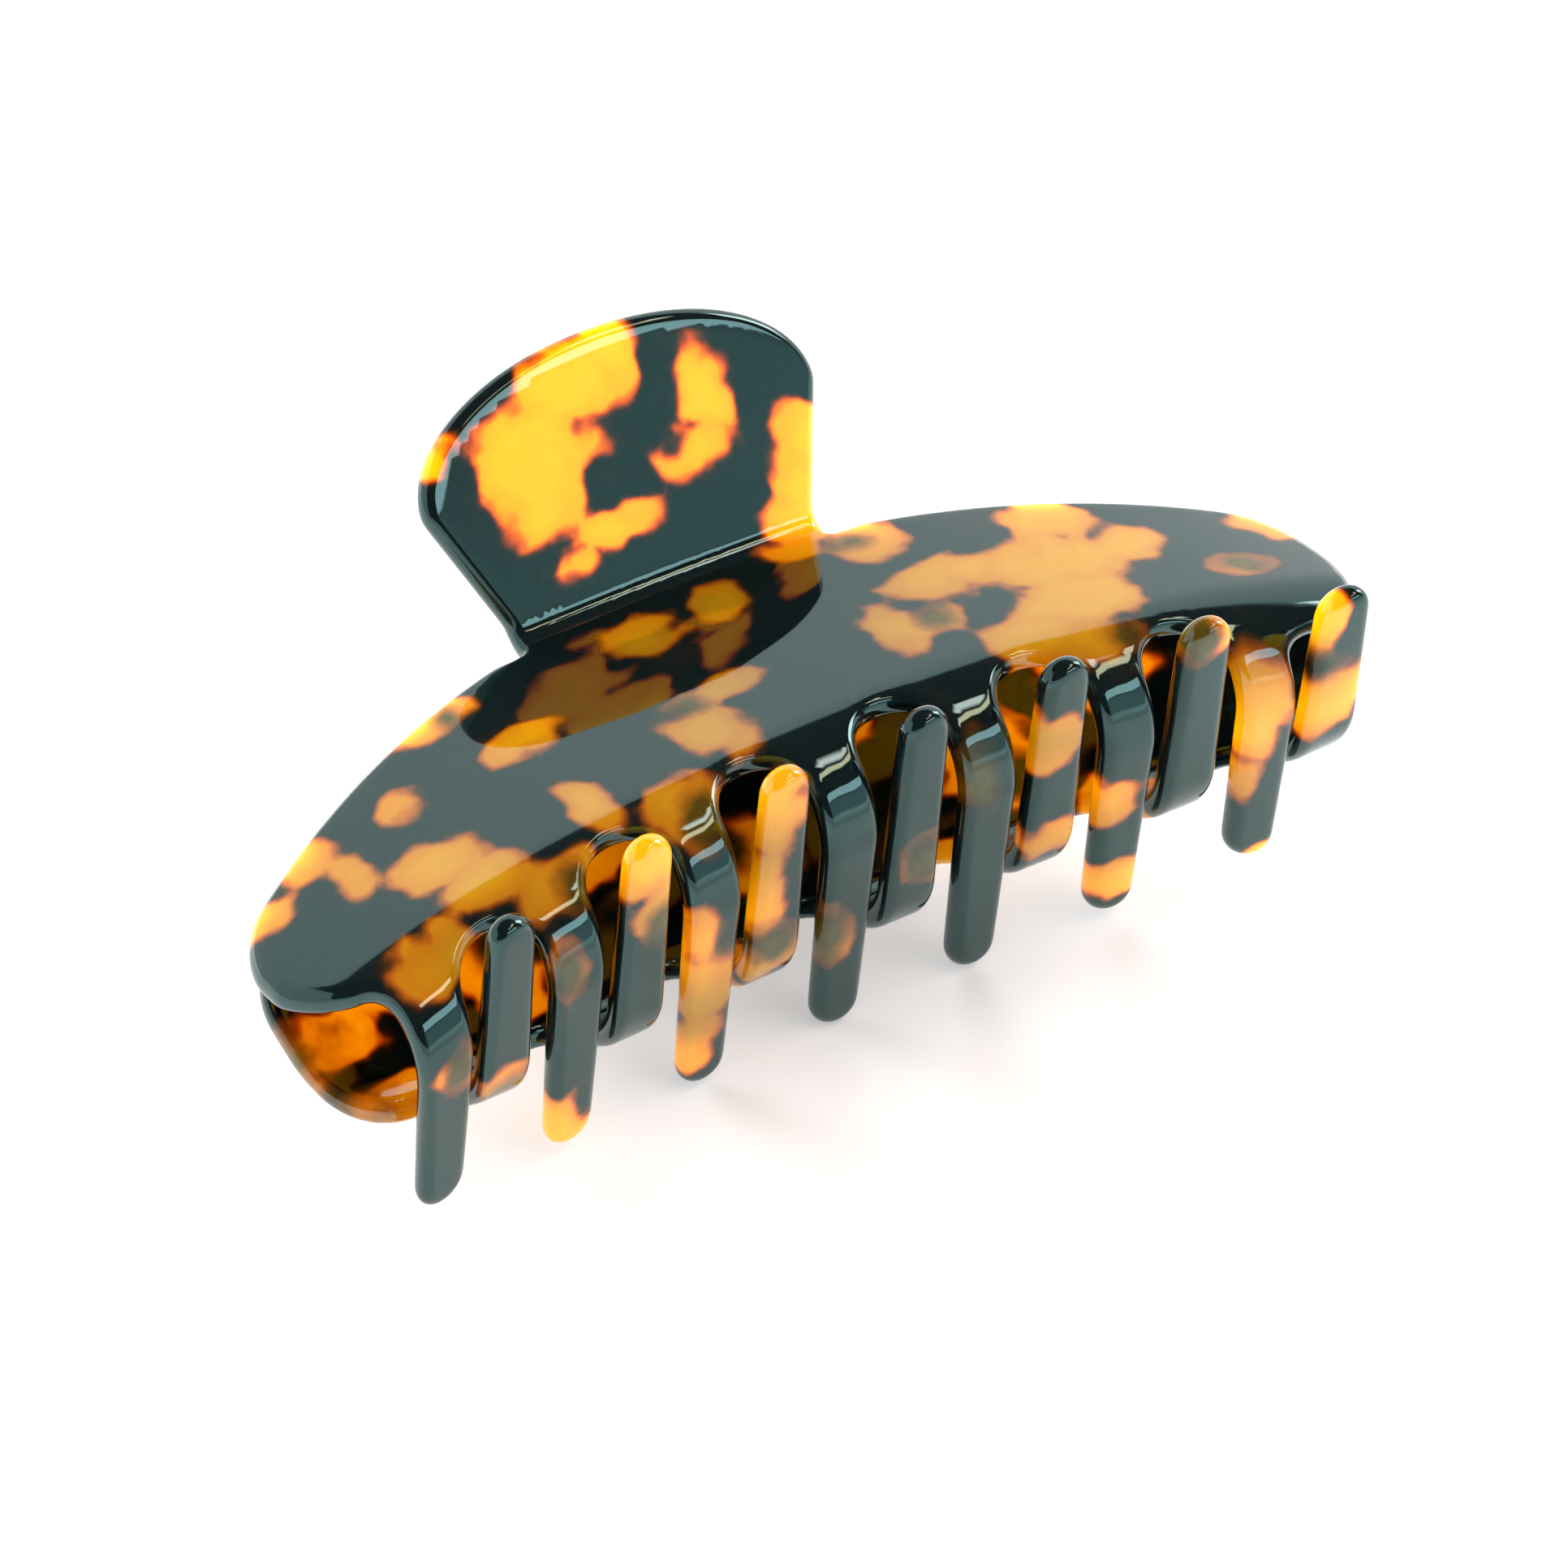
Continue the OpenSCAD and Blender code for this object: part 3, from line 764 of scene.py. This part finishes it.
def studio():
    """A white backdrop behind and beside the table, and a dark room with
    softboxes above it and in front. To the camera it is nowhere darker than white."""
    world = bpy.data.worlds.new("studio")
    bpy.context.scene.world = world
    world.use_nodes = True
    nodes = Nodes(world.node_tree)
    way = nodes.add("ShaderNodeTexCoord").outputs["Generated"]
    axes = nodes.add("ShaderNodeSeparateXYZ", Vector=way)
    x, y, z = (axes.outputs[k] for k in "XYZ")
    turn = nodes.math("ARCTAN2", x, nodes.math("MULTIPLY", y, -1))
    turn = nodes.math("MULTIPLY", turn, math.degrees(1))
    rise = nodes.math("MULTIPLY", nodes.math("ARCSINE", z), math.degrees(1))
    top_edge = nodes.smooth(y, -0.45, 0.1, BACKDROP_FRONT, BACKDROP_BACK)
    white = nodes.smooth(nodes.math("SUBTRACT", top_edge, rise), -2.0, 2.0)
    bright = nodes.smooth(x, 0.2, 0.7, BACKDROP_LEVEL, BACKDROP_RIGHT_LEVEL)
    level = nodes.math("MULTIPLY_ADD", white, bright, ROOM_LEVEL)
    level = nodes.math("MAXIMUM", level, nodes.add("ShaderNodeLightPath").outputs["Is Camera Ray"])
    total = nodes.add("ShaderNodeBackground", Strength=level, Color=(1, 1, 1, 1)).outputs[0]
    for turns, rises, soft, strength, colour in SOFTBOXES:
        face = nodes.math("MULTIPLY", band(nodes, turn, *turns, soft), band(nodes, rise, *rises, soft))
        light = nodes.add(
            "ShaderNodeBackground", Color=(*colour, 1), Strength=nodes.math("MULTIPLY", face, strength),
        )
        both = nodes.add("ShaderNodeAddShader")
        nodes.feed(both.inputs[0], total)
        nodes.feed(both.inputs[1], light.outputs[0])
        total = both.outputs[0]
    nodes.feed(nodes.out.inputs["Surface"], total)


studio()
bpy.context.scene.view_settings.view_transform = "Standard"

panel_light("top_softbox", (0.0, 0.1, 1.2), (0, 0, 0), (1.6, 1.6), 6.0)
panel_light("back_right_softbox", (0.55, 0.95, 0.7), (0, 0, 0), (0.9, 0.5), 8.0)
panel_light("back_light", (0.0, 1.0, 0.12), (0, 0.02, 0.02), (1.4, 0.3), 42.0)
